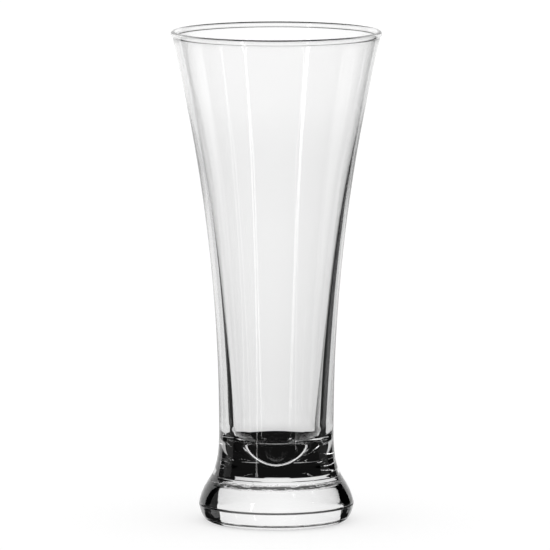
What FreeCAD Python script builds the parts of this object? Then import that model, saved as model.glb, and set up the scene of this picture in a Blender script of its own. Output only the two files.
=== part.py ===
"""Flared pilsner glass: a thick-walled bowl fused onto a heavy solid foot.

Millimetres, +Z up. The origin is on the table, in the middle of the foot's resting ring.
Every surface is turned about Z, so each piece starts as half a section: r outwards, z upwards.
"""

import FreeCAD
import Part
import math
import os

# Overall
overall_height = 182.0
rim_diameter = 78.0

# Lip: fire-polished, so the melted edge has drawn up into a bead fatter than the wall
lip_bead = 2.2
lip_blend = 0.8  # radius of the hollow where the bead runs into the wall
rim_wall = 1.2

# Bowl, outside: a sweep from the narrow neck out to a straight flare at the rim
neck_diameter = 42.5
neck_height = 32.87
rim_lean_deg = 12.6  # the outer wall leans out this far from upright at the rim
rim_sweep = 55.5  # how far the straight flare runs down before the wall curves in
neck_sweep = 49.3  # how far the neck stays upright before the wall curves out

# Bowl, inside: the plunger's shape, straighter than the outside, so the wall thickens downwards
neck_wall = 5.5  # where the bore ends and the floor's dish begins
bore_rim_lean_deg = 10.5
bore_rim_sweep = 59.0
bore_foot_lean_deg = 4.4
bore_foot_sweep = 92.0

# Bowl, floor: a deep dish. Its side turns inwards at a shoulder, then runs down to a rounded tip
floor_thickness = 2.1  # glass between the joint and the lowest point of the dish
floor_dish_depth = 17.2
floor_wall_sweep = 3.0  # how far the dish runs on down the wall before it turns in
shoulder_diameter = 28.2
shoulder_height = 10.2  # above the lowest point of the dish
shoulder_lean_deg = 44.0
shoulder_upper_sweep = 2.6
shoulder_lower_sweep = 7.5
floor_tip_sweep = 3.5  # how far the tip stays level

# Fused joint between bowl and foot, with a hairline groove left round the flare
joint_height = 17.5
groove_depth = 0.08
groove_half_height = 0.2

# Foot, outside
foot_diameter = 57.5
foot_edge_height = 6.52  # the widest circle, where the two halves of the mould met
foot_edge_round = 0.7
flare_lean_deg = 12.4  # lean of the flare where it reaches the widest circle
flare_neck_sweep = 18.59
flare_edge_sweep = 10.96
taper_lean_deg = 15.7  # lean of the taper below the widest circle
taper_sweep = 1.58
seat_diameter = 50.0
seat_lean_deg = 66.4  # lean of the taper where it turns under to the table
seat_sweep = 2.76

# Foot, underside
seat_ring_width = 2.0  # flat ring that the glass stands on
seat_ring_round = 1.0
punt_depth = 2.27  # shallow, nearly flat-topped recess pressed into the underside
punt_level_sweep = 18.0  # how far its top stays level
punt_side_lean_deg = 28.6  # lean of its side where it comes down to the ring
punt_side_sweep = 2.26


def point(r, z):
    return FreeCAD.Vector(r, 0, z)


def heading(lean_deg):
    """Unit step upwards along a wall that leans outwards from upright."""
    lean = math.radians(lean_deg)
    return point(math.sin(lean), math.cos(lean))


def line(start, end):
    return Part.LineSegment(start, end)


def sweep(start, start_heading, start_length, end, end_heading, end_length):
    """Cubic curve that leaves start along its heading and arrives at end along the other."""
    curve = Part.BezierCurve()
    curve.setPoles([
        start,
        start + start_heading * start_length,
        end - end_heading * end_length,
        end,
    ])
    return curve


def between_heights(curve, low, high):
    """The part of a rising curve between two heights."""
    ends = [
        curve.intersectCC(line(point(0, height), point(rim_diameter, height)))[0]
        for height in (low, high)
    ]
    part = curve.copy()
    part.segment(*[curve.parameter(FreeCAD.Vector(end.X, end.Y, end.Z)) for end in ends])
    return part


def turned(outline):
    """Solid of revolution about Z of a closed half section."""
    half_section = Part.Face(Part.Wire([curve.toShape() for curve in outline]))
    return half_section.revolve(FreeCAD.Vector(0, 0, 0), FreeCAD.Vector(0, 0, 1), 360)


def facing(lean_deg):
    """Unit step out of the glass, square to an outer wall with that lean."""
    return heading(lean_deg + 90)


def bead_side(lean_deg, side):
    """The hollow between the wall and the bead on the outer (+1) or inner (-1) side.

    Gives the wall's end, a point halfway round the hollow, and the bead's end.
    """
    along = heading(lean_deg)
    across = facing(lean_deg) * side
    reach = lip_bead / 2 + lip_blend
    offset = rim_wall / 2 + lip_blend
    hollow_centre = bead_centre + across * offset - along * math.sqrt(reach ** 2 - offset ** 2)
    wall_end = hollow_centre - across * lip_blend
    bead_end = hollow_centre + (bead_centre - hollow_centre) * (lip_blend / reach)
    halfway = (wall_end + bead_end) / 2 - hollow_centre
    return wall_end, hollow_centre + halfway.normalize() * lip_blend, bead_end


# Corners of the half section
upright = heading(0)
outwards = point(1, 0)
bead_centre = point(rim_diameter / 2 - lip_bead / 2, overall_height - lip_bead / 2)
bead_crest = bead_centre + upright * (lip_bead / 2)
rim_outer, outer_hollow, bead_outer = bead_side(rim_lean_deg, 1)
rim_inner, inner_hollow, bead_inner = bead_side(bore_rim_lean_deg, -1)
neck = point(neck_diameter / 2, neck_height)
floor_centre = point(0, joint_height + floor_thickness)
floor_edge = point(neck.x - neck_wall, floor_centre.z + floor_dish_depth)
shoulder = point(shoulder_diameter / 2, floor_centre.z + shoulder_height)
joint_centre = point(0, joint_height)
foot_edge_centre = point(foot_diameter / 2 - foot_edge_round, foot_edge_height)
flare_start, foot_edge, taper_end = [
    foot_edge_centre + facing(lean) * foot_edge_round
    for lean in (-flare_lean_deg, 0, taper_lean_deg)
]
seat_edge_centre = point(seat_diameter / 2, seat_ring_round)
taper_start, seat_edge, seat_outer = [
    seat_edge_centre + facing(lean) * seat_ring_round
    for lean in (seat_lean_deg, (seat_lean_deg + 90) / 2, 90)
]
seat_inner = seat_outer - outwards * seat_ring_width
punt_crown = point(0, punt_depth)

# The flare runs on through the joint: its lower part is the foot's, its upper part the bowl's
flare = sweep(flare_start, heading(-flare_lean_deg), flare_edge_sweep,
              neck, upright, flare_neck_sweep)
foot_flare = between_heights(flare, flare_start.z, joint_height - groove_half_height)
bowl_flare = between_heights(flare, joint_height + groove_half_height, neck.z)
groove_bottom = point(
    (foot_flare.EndPoint.x + bowl_flare.StartPoint.x) / 2 - groove_depth,
    joint_height,
)

# Inner wall down from the lip, then the dished floor
bore = [
    sweep(floor_edge, heading(bore_foot_lean_deg), bore_foot_sweep,
          rim_inner, heading(bore_rim_lean_deg), bore_rim_sweep),
    sweep(shoulder, heading(shoulder_lean_deg), shoulder_upper_sweep,
          floor_edge, heading(bore_foot_lean_deg), floor_wall_sweep),
    sweep(floor_centre, outwards, floor_tip_sweep,
          shoulder, heading(shoulder_lean_deg), shoulder_lower_sweep),
]


def make_foot():
    return turned([
        sweep(punt_crown, outwards, punt_level_sweep,
              seat_inner, heading(180 - punt_side_lean_deg), punt_side_sweep),
        line(seat_inner, seat_outer),
        Part.Arc(seat_outer, seat_edge, taper_start),
        sweep(taper_start, heading(seat_lean_deg), seat_sweep,
              taper_end, heading(taper_lean_deg), taper_sweep),
        Part.Arc(taper_end, foot_edge, flare_start),
        foot_flare,
        line(foot_flare.EndPoint, groove_bottom),
        line(groove_bottom, joint_centre),
        line(joint_centre, punt_crown),
    ])


def make_bowl():
    return turned([
        line(joint_centre, groove_bottom),
        line(groove_bottom, bowl_flare.StartPoint),
        bowl_flare,
        sweep(neck, upright, neck_sweep, rim_outer, heading(rim_lean_deg), rim_sweep),
        Part.Arc(rim_outer, outer_hollow, bead_outer),
        Part.Arc(bead_outer, bead_crest, bead_inner),
        Part.Arc(bead_inner, inner_hollow, rim_inner),
        *bore,
        line(floor_centre, joint_centre),
    ])


def brimful_millilitres():
    """What the bore holds up to the bead, as a check on the size."""
    brim_centre = point(0, rim_inner.z)
    brimful = turned([*bore, line(rim_inner, brim_centre), line(brim_centre, floor_centre)])
    return brimful.Volume / 1000


def main():
    os.makedirs("parts", exist_ok=True)
    pieces = {"bowl": make_bowl(), "foot": make_foot()}
    for name, piece in pieces.items():
        piece.exportStep("parts/" + name + ".step")
        print(name, "valid", piece.isValid(), "solids", len(piece.Solids),
              "volume_ml", round(piece.Volume / 1000, 2), piece.BoundBox)
    print("brimful_ml", round(brimful_millilitres(), 1))


main()
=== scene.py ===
import math

import bmesh
import bpy
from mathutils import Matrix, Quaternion, Vector
from mathutils.geometry import interpolate_bezier


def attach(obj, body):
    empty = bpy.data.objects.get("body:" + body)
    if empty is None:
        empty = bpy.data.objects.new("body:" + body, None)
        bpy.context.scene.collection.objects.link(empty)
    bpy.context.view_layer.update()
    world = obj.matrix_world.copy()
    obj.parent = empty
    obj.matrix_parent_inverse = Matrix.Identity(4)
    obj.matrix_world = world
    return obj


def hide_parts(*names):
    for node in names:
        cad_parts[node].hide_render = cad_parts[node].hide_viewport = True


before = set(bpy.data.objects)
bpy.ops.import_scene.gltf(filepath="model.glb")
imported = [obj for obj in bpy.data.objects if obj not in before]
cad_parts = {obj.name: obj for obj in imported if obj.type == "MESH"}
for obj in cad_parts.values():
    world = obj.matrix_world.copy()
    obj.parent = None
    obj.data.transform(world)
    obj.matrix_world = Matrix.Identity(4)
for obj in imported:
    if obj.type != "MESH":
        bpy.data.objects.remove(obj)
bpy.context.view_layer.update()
scene = bpy.context.scene

# The foot: a lump of clear soda-lime glass, pressed solid in a two-part mould. It flares from the
# neck to a widest circle, where the mould parted, tapers in under it and stands on a narrow flat
# ring round a shallow recess. It is turned here from half its section, from the recess outwards.
foot_diameter = 57.5
foot_edge_height = 6.52
foot_edge_round = 0.7
neck_diameter = 42.5
neck_height = 32.87
flare_lean_deg = 12.4
flare_neck_sweep = 18.59
flare_edge_sweep = 10.96
taper_lean_deg = 15.7
taper_sweep = 1.58
seat_diameter = 50.0
seat_lean_deg = 66.4
seat_sweep = 2.76
seat_ring_width = 2.0
seat_ring_round = 1.0
punt_depth = 2.27
punt_level_sweep = 18.0
punt_side_lean_deg = 28.6
punt_side_sweep = 2.26
joint_height = 17.5
groove_depth = 0.08
groove_half_height = 0.2
turn_steps = 288
weld_distance = 2e-6
crisp_edge_deg = 40


def spot(radius, height):
    """A point of a half section, in millimetres from the axis and above the table."""
    return Vector((radius, 0, height))


def heading(lean_deg):
    """Unit step upwards along a wall that leans outwards from upright."""
    lean = math.radians(lean_deg)
    return spot(math.sin(lean), math.cos(lean))


def sweep(start, leaving, leaving_length, end, arriving, arriving_length, steps):
    """Points along a smooth curve that leaves start and arrives at end along two headings."""
    return interpolate_bezier(start, start + leaving * leaving_length,
                              end - arriving * arriving_length, end, steps + 1)


def arc(centre, start, end, steps):
    """Points from start to end, the short way round a centre."""
    spoke = start - centre
    swing = spoke.rotation_difference(end - centre)
    return [centre + Quaternion().slerp(swing, step / steps) @ spoke for step in range(steps + 1)]


def crossing(run, height):
    """Where a rising run of points passes a height."""
    low, high = [(a, b) for a, b in zip(run, run[1:]) if a.z <= height <= b.z][0]
    return low.lerp(high, (height - low.z) / (high.z - low.z))


def turned(name, outline):
    """A closed piece in metres, from half its section turned about the glass's axis."""
    bm = bmesh.new()
    corners = [bm.verts.new(place / 1000) for place in outline]
    for start, end in zip(corners, corners[1:]):
        bm.edges.new((start, end))
    bmesh.ops.remove_doubles(bm, verts=bm.verts, dist=weld_distance)
    bmesh.ops.spin(bm, geom=bm.verts[:] + bm.edges[:], cent=(0, 0, 0), axis=(0, 0, 1),
                   angle=math.tau, steps=turn_steps, use_merge=True)
    bmesh.ops.remove_doubles(bm, verts=bm.verts, dist=weld_distance)
    bmesh.ops.recalc_face_normals(bm, faces=bm.faces)
    for face in bm.faces:
        face.smooth = True
    for edge in bm.edges:
        edge.smooth = edge.calc_face_angle() < math.radians(crisp_edge_deg)
    mesh = bpy.data.meshes.new(name)
    bm.to_mesh(mesh)
    bm.free()
    piece = bpy.data.objects.new(name, mesh)
    scene.collection.objects.link(piece)
    return piece


upright, outwards = heading(0), heading(90)
neck = spot(neck_diameter / 2, neck_height)
foot_edge_centre = spot(foot_diameter / 2 - foot_edge_round, foot_edge_height)
flare_start, taper_end = [foot_edge_centre + heading(lean + 90) * foot_edge_round
                          for lean in (-flare_lean_deg, taper_lean_deg)]
seat_edge_centre = spot(seat_diameter / 2, seat_ring_round)
taper_start, seat_outer = [seat_edge_centre + heading(lean + 90) * seat_ring_round
                           for lean in (seat_lean_deg, 90)]
seat_inner = seat_outer - outwards * seat_ring_width
punt_crown = spot(0, punt_depth)
joint_centre = spot(0, joint_height)

# The flare runs on through the joint: its lower part is the foot's, its upper part the bowl's
flare = sweep(flare_start, heading(-flare_lean_deg), flare_edge_sweep,
              neck, upright, flare_neck_sweep, steps=60)
groove_foot, groove_bowl = [crossing(flare, joint_height + gap)
                            for gap in (-groove_half_height, groove_half_height)]
groove_bottom = spot((groove_foot.x + groove_bowl.x) / 2 - groove_depth, joint_height)

foot = turned("solid_foot", [
    *sweep(punt_crown, outwards, punt_level_sweep,
           seat_inner, heading(180 - punt_side_lean_deg), punt_side_sweep, steps=40),
    *arc(seat_edge_centre, seat_outer, taper_start, steps=6),
    *sweep(taper_start, heading(seat_lean_deg), seat_sweep,
           taper_end, heading(taper_lean_deg), taper_sweep, steps=20),
    *arc(foot_edge_centre, taper_end, flare_start, steps=4),
    *[place for place in flare if place.z < groove_foot.z],
    groove_foot,
    groove_bottom,
    joint_centre,
])

glass_clearness = 0.987
glass_ior = 1.51


def clear_glass(name):
    """Colourless soda-lime glass, to which each piece adds its own surface."""
    material = bpy.data.materials.new(name)
    material.use_nodes = True
    shader = material.node_tree.nodes["Principled BSDF"]
    shader.inputs["Base Color"].default_value = (glass_clearness, glass_clearness, glass_clearness, 1)
    shader.inputs["IOR"].default_value = glass_ior
    shader.inputs["Transmission Weight"].default_value = 1
    shader.inputs["Roughness"].default_value = 0
    return material, shader


def calc(tree, operation, *inputs):
    """A maths node; each input is a socket or a plain number."""
    node = tree.nodes.new("ShaderNodeMath")
    node.operation = operation
    for socket, value in zip(node.inputs, inputs):
        if isinstance(value, bpy.types.NodeSocket):
            tree.links.new(value, socket)
        else:
            socket.default_value = value
    return node.outputs[0]


def place_on(tree):
    """The point on the piece, and its Y and Z, in millimetres."""
    place = tree.nodes.new("ShaderNodeTexCoord")
    enlarge = tree.nodes.new("ShaderNodeVectorMath")
    enlarge.operation = "SCALE"
    enlarge.inputs["Scale"].default_value = 1000
    tree.links.new(place.outputs["Object"], enlarge.inputs[0])
    axes = tree.nodes.new("ShaderNodeSeparateXYZ")
    tree.links.new(enlarge.outputs[0], axes.inputs[0])
    return enlarge.outputs[0], axes.outputs["Y"], axes.outputs["Z"]


def near(tree, value, middle, reach):
    """1 where a value is at its middle, easing to 0 at its reach on either side."""
    ease = tree.nodes.new("ShaderNodeMapRange")
    ease.interpolation_type = "SMOOTHSTEP"
    ease.inputs["From Max"].default_value = reach
    ease.inputs["To Min"].default_value = 1
    ease.inputs["To Max"].default_value = 0
    away = calc(tree, "ABSOLUTE", calc(tree, "SUBTRACT", value, middle))
    tree.links.new(away, ease.inputs["Value"])
    return ease.outputs["Result"]


def mottle(tree, point, size, detail=2.0):
    """Smooth uneven marks, with their size across and up the piece."""
    across, upwards = size
    stretch = tree.nodes.new("ShaderNodeVectorMath")
    stretch.operation = "MULTIPLY"
    stretch.inputs[1].default_value = (1 / across, 1 / across, 1 / upwards)
    tree.links.new(point, stretch.inputs[0])
    noise = tree.nodes.new("ShaderNodeTexNoise")
    noise.inputs["Scale"].default_value = 1
    noise.inputs["Detail"].default_value = detail
    tree.links.new(stretch.outputs[0], noise.inputs["Vector"])
    return noise.outputs["Fac"]


def seeds(tree, point, spacing, radius):
    """1 inside sparse pinhead bubbles, where they lie just under the surface."""
    cells = tree.nodes.new("ShaderNodeTexVoronoi")
    cells.inputs["Scale"].default_value = 1 / spacing
    tree.links.new(point, cells.inputs["Vector"])
    return near(tree, cells.outputs["Distance"], 0, radius / spacing)


def relief(tree, shader, marks):
    """Raises marks on the shader's surface: pairs of a 0 to 1 height and its depth."""
    for height, depth in marks:
        bump = tree.nodes.new("ShaderNodeBump")
        bump.inputs["Distance"].default_value = depth / 1000
        tree.links.new(height, bump.inputs["Height"])
        if shader.inputs["Normal"].is_linked:
            tree.links.new(shader.inputs["Normal"].links[0].from_socket, bump.inputs["Normal"])
        tree.links.new(bump.outputs["Normal"], shader.inputs["Normal"])


# Pressed glass keeps the mould's fine ripple and a few seeds, and its resting ring is scuffed.
# Three lines run round its front: uneven puckers where it was fused to the bowl, the line
# where the mould parted, and the turn under to the resting ring. They are rough and bumped,
# and on the front only painted shade darkens the glass's colour along them.
ripple_size = (1.2, 0.7)
ripple_depth = 0.006
pucker_height = 15.4
pucker_reach = 1.1
pucker_size = (3.0, 0.6)
pucker_level = 0.45
pucker_spread = 0.25
pucker_depth = 0.3
parting_reach = 0.5
parting_depth = -1.2
turn_height = 1.5
turn_reach = 0.6
turn_patch_size = (3.0, 3.0)
turn_depth = -1.4
line_dulling_and_shade = 2.2
line_roughness = 0.8
# Painted shade: how far the three lines darken the glass's colour
painted_line_shade = 0.95
seed_spacing = 4.5
seed_radius = 0.25
seed_depth = 0.15
scuff_reach = 0.6
scuff_size = (0.6, 0.6)
scuff_roughness = 0.1

foot_glass, shader = clear_glass("pressed_glass")
tree = foot_glass.node_tree
point, y, z = place_on(tree)
front = near(tree, y, -foot_diameter / 2, foot_diameter / 2)
puckers = near(tree, mottle(tree, point, pucker_size), pucker_level, pucker_spread)
patches = mottle(tree, point, turn_patch_size)
pucker_line = calc(tree, "MULTIPLY", near(tree, z, pucker_height, pucker_reach),
                   calc(tree, "MULTIPLY", front, puckers))
parting_line = calc(tree, "MULTIPLY", near(tree, z, foot_edge_height, parting_reach), front)
turn_line = calc(tree, "MULTIPLY", near(tree, z, turn_height, turn_reach),
                 calc(tree, "MULTIPLY", front, patches))
relief(tree, shader, [
    (mottle(tree, point, ripple_size), ripple_depth),
    (pucker_line, pucker_depth),
    (parting_line, parting_depth),
    (turn_line, turn_depth),
    (seeds(tree, point, seed_spacing, seed_radius), seed_depth),
])
dull_and_shaded_lines = calc(tree, "ADD", parting_line, calc(tree, "ADD", pucker_line, turn_line))
dulled_and_shaded = calc(tree, "MINIMUM", calc(tree, "MULTIPLY", dull_and_shaded_lines, line_dulling_and_shade), 1)
scuffs = calc(tree, "MULTIPLY", near(tree, z, 0, scuff_reach), mottle(tree, point, scuff_size, detail=6))
roughness = calc(tree, "ADD", calc(tree, "MULTIPLY", scuffs, scuff_roughness),
                 calc(tree, "MULTIPLY", dulled_and_shaded, line_roughness))
tree.links.new(roughness, shader.inputs["Roughness"])
# Painted shade: the lines darken the glass's colour, on the front only
clearness = calc(tree, "SUBTRACT", glass_clearness, calc(tree, "MULTIPLY", dulled_and_shaded, painted_line_shade))
tree.links.new(clearness, shader.inputs["Base Color"])

# Bowl and foot are fused, so light passes the joint unbent: no surface is left there
fused_joint = bpy.data.materials.new("fused_joint")
fused_joint.use_nodes = True
joint_tree = fused_joint.node_tree
joint_tree.nodes.remove(joint_tree.nodes["Principled BSDF"])
clear = joint_tree.nodes.new("ShaderNodeBsdfTransparent")
joint_tree.links.new(clear.outputs[0], joint_tree.nodes["Material Output"].inputs["Surface"])
joint_face_reach = 0.05


def finish_glass(piece, glass):
    """Gives a piece its glass, and the fused joint's clearness where it meets the other piece."""
    piece.data.materials.append(glass)
    piece.data.materials.append(fused_joint)
    for polygon in piece.data.polygons:
        at_joint = abs(polygon.center.z * 1000 - joint_height) < joint_face_reach
        polygon.material_index = int(at_joint)


finish_glass(foot, foot_glass)
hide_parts("foot")
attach(foot, "root")

# The bowl: a tapered tube of the same clear glass, formed round a plunger, so its wall thickens
# downwards to a deep dished floor. Its cut rim was fire-polished and drew up into a bead.
overall_height = 182.0
rim_diameter = 78.0
lip_bead = 2.2
lip_blend = 0.8
rim_wall = 1.2
rim_lean_deg = 12.6
rim_sweep = 55.5
neck_sweep = 49.3
neck_wall = 5.5
bore_rim_lean_deg = 10.5
bore_rim_sweep = 59.0
bore_foot_lean_deg = 4.4
bore_foot_sweep = 92.0
floor_thickness = 2.1
floor_dish_depth = 17.2
floor_wall_sweep = 3.0
shoulder_diameter = 28.2
shoulder_height = 10.2
shoulder_lean_deg = 44.0
shoulder_upper_sweep = 2.6
shoulder_lower_sweep = 7.5
floor_tip_sweep = 3.5


def bead_side(lean_deg, side):
    """Wall's end, centre of the hollow and bead's end, on the outer (+1) or inner (-1) side."""
    along = heading(lean_deg)
    across = heading(lean_deg + 90) * side
    reach = lip_bead / 2 + lip_blend
    offset = rim_wall / 2 + lip_blend
    hollow = bead_centre + across * offset - along * math.sqrt(reach ** 2 - offset ** 2)
    return hollow - across * lip_blend, hollow, hollow.lerp(bead_centre, lip_blend / reach)


bead_centre = spot(rim_diameter / 2 - lip_bead / 2, overall_height - lip_bead / 2)
bead_crest = bead_centre + upright * (lip_bead / 2)
rim_outer, outer_hollow, bead_outer = bead_side(rim_lean_deg, 1)
rim_inner, inner_hollow, bead_inner = bead_side(bore_rim_lean_deg, -1)
floor_centre = spot(0, joint_height + floor_thickness)
floor_edge = spot(neck.x - neck_wall, floor_centre.z + floor_dish_depth)
shoulder = spot(shoulder_diameter / 2, floor_centre.z + shoulder_height)

bowl = turned("clear_bowl", [
    joint_centre,
    groove_bottom,
    groove_bowl,
    *[place for place in flare if place.z > groove_bowl.z],
    *sweep(neck, upright, neck_sweep, rim_outer, heading(rim_lean_deg), rim_sweep, steps=56),
    *arc(outer_hollow, rim_outer, bead_outer, steps=4),
    *arc(bead_centre, bead_outer, bead_crest, steps=12),
    *arc(bead_centre, bead_crest, bead_inner, steps=12),
    *arc(inner_hollow, bead_inner, rim_inner, steps=4),
    *sweep(rim_inner, -heading(bore_rim_lean_deg), bore_rim_sweep,
           floor_edge, -heading(bore_foot_lean_deg), bore_foot_sweep, steps=56),
    *sweep(floor_edge, -heading(bore_foot_lean_deg), floor_wall_sweep,
           shoulder, -heading(shoulder_lean_deg), shoulder_upper_sweep, steps=20),
    *sweep(shoulder, -heading(shoulder_lean_deg), shoulder_lower_sweep,
           floor_centre, -outwards, floor_tip_sweep, steps=28),
])

# Fire-polished glass is smoother than pressed: faint cords drawn out along the wall, smaller and
# fewer seeds, and puckers only just above the joint
cord_size = (6, 90)
cord_depth = 0.01
joint_pucker_reach = 1.0
joint_pucker_size = (1.6, 0.5)
joint_pucker_depth = 0.05
bowl_seed_spacing = 9
bowl_seed_radius = 0.2
bowl_seed_depth = 0.08

bowl_glass, shader = clear_glass("fire_polished_glass")
tree = bowl_glass.node_tree
point, _, z = place_on(tree)
joint_puckers = calc(tree, "MULTIPLY", mottle(tree, point, joint_pucker_size),
                     near(tree, z, joint_height, joint_pucker_reach))
relief(tree, shader, [
    (mottle(tree, point, cord_size), cord_depth),
    (joint_puckers, joint_pucker_depth),
    (seeds(tree, point, bowl_seed_spacing, bowl_seed_radius), bowl_seed_depth),
])
finish_glass(bowl, bowl_glass)
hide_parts("bowl")
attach(bowl, "root")

# The camera: far away with a long lens, a little above the glass. From here on sizes are metres.
camera_place = (-0.0005, -2.7, 0.432)
camera_dip_deg = 7.19
camera_lens = 482.0
camera_reach = 100

camera = bpy.data.objects.new("camera", bpy.data.cameras.new("camera"))
scene.collection.objects.link(camera)
camera.data.sensor_width = 36
camera.data.lens = camera_lens
camera.data.clip_end = camera_reach
camera.location = camera_place
camera.rotation_euler = (math.radians(90 - camera_dip_deg), 0, 0)
scene.camera = camera
bpy.context.view_layer.update()

# The studio: glowing panels that stand in a ring round the glass and turn with the camera. A white
# sweep and wall behind it show through the glass, the dark gaps beside them draw its black lines,
# a softbox lights each flank, and three narrow strips in front leave the streaks down the bowl.
ring_radius = 3
panel_strips = 24


def fade_along(tree, axis, stops):
    """A brightness that follows the panel's own X or Z; stops are (metres, share) in order."""
    nodes, links = tree.nodes, tree.links
    place = nodes.new("ShaderNodeTexCoord")
    axes = nodes.new("ShaderNodeSeparateXYZ")
    links.new(place.outputs["Object"], axes.inputs[0])
    first, last = stops[0][0], stops[-1][0]
    climb = nodes.new("ShaderNodeMapRange")
    climb.inputs["From Min"].default_value = first
    climb.inputs["From Max"].default_value = last
    links.new(axes.outputs[axis], climb.inputs["Value"])
    ramp = nodes.new("ShaderNodeValToRGB")
    for metres, share in stops[1:-1]:
        ramp.color_ramp.elements.new((metres - first) / (last - first))
    for element, (metres, share) in zip(ramp.color_ramp.elements, stops):
        element.color = (share, share, share, 1)
    links.new(climb.outputs["Result"], ramp.inputs["Fac"])
    return ramp.outputs["Color"]


def glowing(name, strength, fades):
    """A glow of its own, faded along the panel's axes."""
    material = bpy.data.materials.new(name)
    material.use_nodes = True
    tree = material.node_tree
    tree.nodes.remove(tree.nodes["Principled BSDF"])
    glow = tree.nodes.new("ShaderNodeEmission")
    glow.inputs["Strength"].default_value = strength
    shade = None
    for axis, stops in fades:
        fade = fade_along(tree, axis, stops)
        shade = calc(tree, "MULTIPLY", shade, fade) if shade else fade
    if shade:
        tree.links.new(shade, glow.inputs["Color"])
    tree.links.new(glow.outputs[0], tree.nodes["Material Output"].inputs["Surface"])
    return material


def round_panel(name, strength, rows, fades=()):
    """A panel standing round the glass, as rows of (height, from, to), upwards and in degrees.

    0 is behind the glass and 90 to its right. Only what the glass bends or reflects sees it.
    """
    bm = bmesh.new()
    bmesh.ops.create_grid(bm, x_segments=panel_strips, y_segments=len(rows) - 1, size=0.5)
    for corner in bm.verts:
        height, left, right = rows[round((corner.co.y + 0.5) * (len(rows) - 1))]
        turn = math.radians(left + (right - left) * (corner.co.x + 0.5))
        corner.co = (ring_radius * math.sin(turn), ring_radius * math.cos(turn), height)
    mesh = bpy.data.meshes.new(name)
    bm.to_mesh(mesh)
    bm.free()
    panel = bpy.data.objects.new(name, mesh)
    scene.collection.objects.link(panel)
    panel.data.materials.append(glowing(name, strength, fades))
    panel.visible_camera = False
    panel.visible_diffuse = False
    panel.visible_shadow = False
    panel.parent = camera
    panel.matrix_parent_inverse = camera.matrix_world.inverted()


backdrop_strength = 1.14
low_to_high = ("Z", [(-1.66, 0.68), (-1.30, 0.73), (-1.10, 0.77), (-0.92, 0.80), (-0.71, 0.83),
                     (-0.53, 0.86), (-0.35, 0.92), (-0.22, 0.98), (-0.1, 1.0)])
middle_to_sides = ("X", [(-1.95, 0.78), (-1.27, 0.88), (-0.52, 0.96), (-0.1, 1.0),
                         (0.52, 0.92), (1.03, 0.80), (1.6, 0.68)])
round_panel("backdrop_sweep", backdrop_strength, [
    (-1.63, -8, 7), (-1.43, -10, 9), (-1.15, -20, 19), (-0.95, -32, 25), (-0.8, -41, 26),
    (-0.61, -43, 27), (-0.4, -44, 33), (0.03, -46, 35)], [low_to_high, middle_to_sides])

wall_upwards = ("Z", [(0.03, 1.0), (0.3, 0.92), (0.9, 0.88), (3.6, 0.88)])
wall_to_sides = ("X", [(-2.1, 0.88), (-0.6, 0.97), (-0.1, 1.0), (0.6, 0.97), (1.8, 0.88)])
round_panel("backdrop_wall", backdrop_strength, [
    (0.03, -46, 35), (0.9, -48, 38), (1.35, -57, 43), (1.75, -63, 47),
    (3.6, -63, 47)], [wall_upwards, wall_to_sides])

brighter_below = ("Z", [(-1.7, 1.0), (-0.9, 1.0), (-0.45, 0.3), (1.3, 0.3)])
round_panel("left_softbox", 0.9, [
    (-1.7, -84, -58), (-0.8, -84, -58), (-0.62, -84, -51), (-0.5, -84, -54), (-0.35, -84, -62),
    (1.3, -84, -62)], [brighter_below])
round_panel("right_softbox", 0.6, [
    (-1.7, 55, 96), (-0.8, 55, 96), (-0.6, 50, 90), (-0.45, 58, 88), (1.3, 66, 84)], [brighter_below])

round_panel("left_strip", 3.5, [
    (-2.5, -146, -143.5), (-0.4, -142, -140), (0.85, -142.5, -139.5), (1.45, -144, -139),
    (1.8, -144.5, -137.5)])
round_panel("far_left_strip", 1.5, [(-2.5, -112.5, -110.5), (-0.2, -113.5, -111.5)])
round_panel("right_strip", 2.0, [(-2.5, 152, 153.5), (-0.5, 140, 141.5), (-0.15, 140, 142)])

# The table: wide and white to the camera, so that only the glass's soft shadow shows on it
table_radius = 30
table_drop = 0.0001
table_paleness = 0.5
table_glow = 0.55

table_mesh = bpy.data.meshes.new("table")
bm = bmesh.new()
bmesh.ops.create_circle(bm, cap_ends=True, segments=96, radius=table_radius)
bm.to_mesh(table_mesh)
bm.free()
table = bpy.data.objects.new("table", table_mesh)
scene.collection.objects.link(table)
table.location.z = -table_drop
table.visible_transmission = False
table.visible_glossy = False

table_material = bpy.data.materials.new("pale_table")
table_material.use_nodes = True
tree = table_material.node_tree
matt = tree.nodes["Principled BSDF"]
matt.inputs["Base Color"].default_value = (table_paleness, table_paleness, table_paleness, 1)
matt.inputs["Roughness"].default_value = 1
matt.inputs["Specular IOR Level"].default_value = 0
glow = tree.nodes.new("ShaderNodeEmission")
ray = tree.nodes.new("ShaderNodeLightPath")
tree.links.new(calc(tree, "MULTIPLY", ray.outputs["Is Camera Ray"], table_glow), glow.inputs["Strength"])
both = tree.nodes.new("ShaderNodeAddShader")
tree.links.new(matt.outputs[0], both.inputs[0])
tree.links.new(glow.outputs[0], both.inputs[1])
tree.links.new(both.outputs[0], tree.nodes["Material Output"].inputs["Surface"])
table.data.materials.append(table_material)

# The room: white to the camera and on the table, and nearly black to all that the glass bends or
# reflects past the panels
room_darkness = 0.006

room = bpy.data.worlds.new("studio")
scene.world = room
room.use_nodes = True
tree = room.node_tree
ray = tree.nodes.new("ShaderNodeLightPath")
lit = calc(tree, "MAXIMUM", ray.outputs["Is Camera Ray"], ray.outputs["Is Diffuse Ray"])
shade = tree.nodes.new("ShaderNodeMix")
shade.data_type = "RGBA"
shade.inputs[6].default_value = (room_darkness, room_darkness, room_darkness, 1)
shade.inputs[7].default_value = (1, 1, 1, 1)
tree.links.new(lit, shade.inputs["Factor"])
tree.links.new(shade.outputs[2], tree.nodes["Background"].inputs["Color"])
tree.nodes["Background"].inputs["Strength"].default_value = 1

scene.view_settings.view_transform = "Standard"
